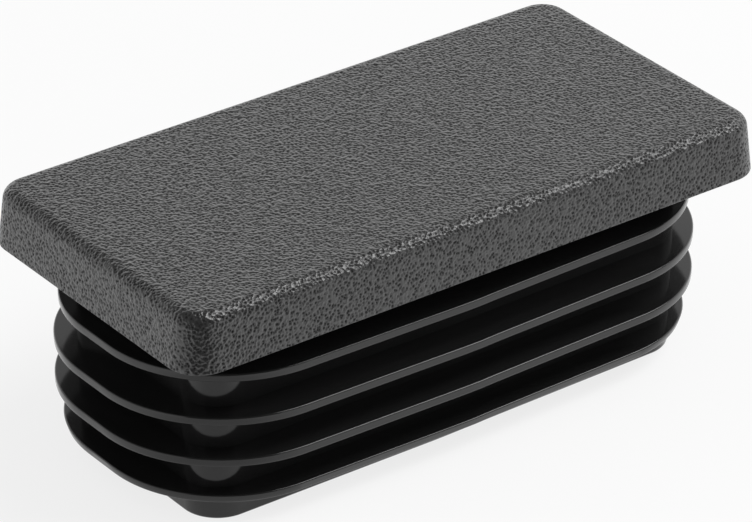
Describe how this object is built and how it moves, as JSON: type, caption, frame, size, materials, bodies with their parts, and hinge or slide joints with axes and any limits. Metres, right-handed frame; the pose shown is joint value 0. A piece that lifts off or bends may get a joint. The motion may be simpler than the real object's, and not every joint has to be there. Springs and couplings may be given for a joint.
{
  "type": "tube end cap",
  "caption": "Rectangular tube end cap with a thick flat head and a hollow plug whose thin fins grip inside the tube.",
  "frame": {"origin": "centre of the plug's open end, on the surface that the cap stands on", "axes": "+Z from the plug's open end up to the head, +X along the tube's longer side"},
  "size_m": [0.06, 0.03, 0.0227],
  "materials": {
    "black_polyethylene": "grained head, smooth satin plug"
  },
  "bodies": {
    "root": {"end_cap": "black_polyethylene"}
  },
  "joints": []
}
